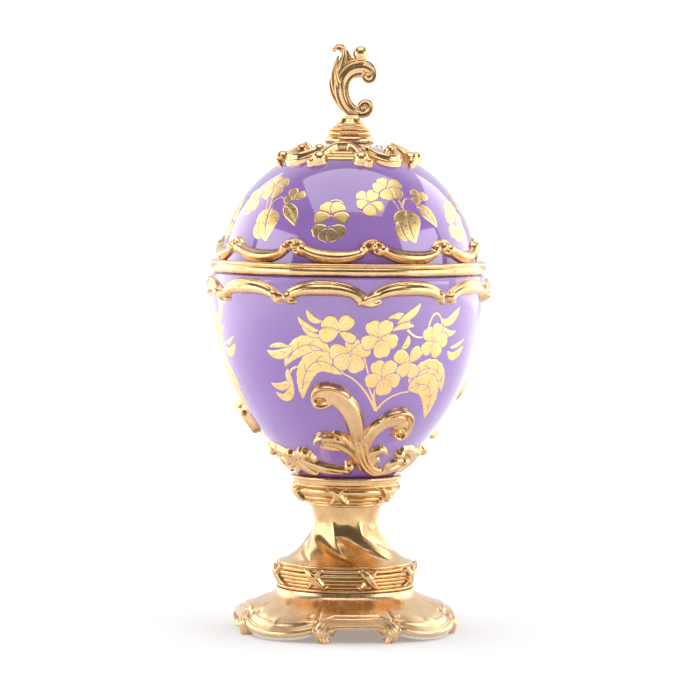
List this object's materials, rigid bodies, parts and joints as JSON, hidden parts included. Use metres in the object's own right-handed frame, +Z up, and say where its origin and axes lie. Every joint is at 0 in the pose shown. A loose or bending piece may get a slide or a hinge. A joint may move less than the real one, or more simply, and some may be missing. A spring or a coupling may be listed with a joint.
{
  "type": "porcelain trinket box",
  "caption": "Footed egg-shaped porcelain box with a lift-off domed lid, gilt scroll relief, a C-scroll finial and a fluted stem on a lobed foot",
  "frame": {"origin": "centre of the foot, on the surface that the box stands on", "axes": "+Z up along the box's axis; the box faces -Y, with the front acanthus spray 13 degrees towards +X"},
  "size_m": [0.0915, 0.0918, 0.1873],
  "materials": {
    "violet_glaze": "glossy violet glaze over white porcelain, with burnished gilt flower transfers",
    "gilt_porcelain": "burnished gold lustre over glazed porcelain, slightly brushed",
    "brass": "turned, unpolished",
    "felt": "pressed felt"
  },
  "bodies": {
    "box": {"bowl_shell": "violet_glaze", "bowl_rim_garland": "gilt_porcelain", "acanthus_spray_1": "gilt_porcelain", "acanthus_spray_2": "gilt_porcelain", "acanthus_spray_3": "gilt_porcelain", "base_garland_1": "gilt_porcelain", "base_garland_2": "gilt_porcelain", "base_garland_3": "gilt_porcelain", "collar": "gilt_porcelain", "collar_ribbons": "gilt_porcelain", "stem": "gilt_porcelain", "stem_ring": "gilt_porcelain", "ring_ribbons": "gilt_porcelain", "foot": "gilt_porcelain", "foot_rim_moulding": "gilt_porcelain", "foot_scrolls": "gilt_porcelain", "tie_bolt": "brass", "bowl_cushion": "felt", "bowl_washer": "brass", "foot_cushion": "felt", "foot_washer": "brass", "tie_nut": "brass"},
    "lid": {"lid_shell": "violet_glaze", "lid_rim_band": "gilt_porcelain", "lid_rim_garland": "gilt_porcelain", "crown_garland": "gilt_porcelain", "finial_socle": "gilt_porcelain", "finial_scroll": "gilt_porcelain", "finial_leaf": "gilt_porcelain", "finial_bead": "gilt_porcelain"}
  },
  "joints": [
    {"name": "lid_lift", "type": "slide", "parent": "box", "child": "lid", "axis": [0, 0, 1], "range_m": [0, 0.1]}
  ]
}
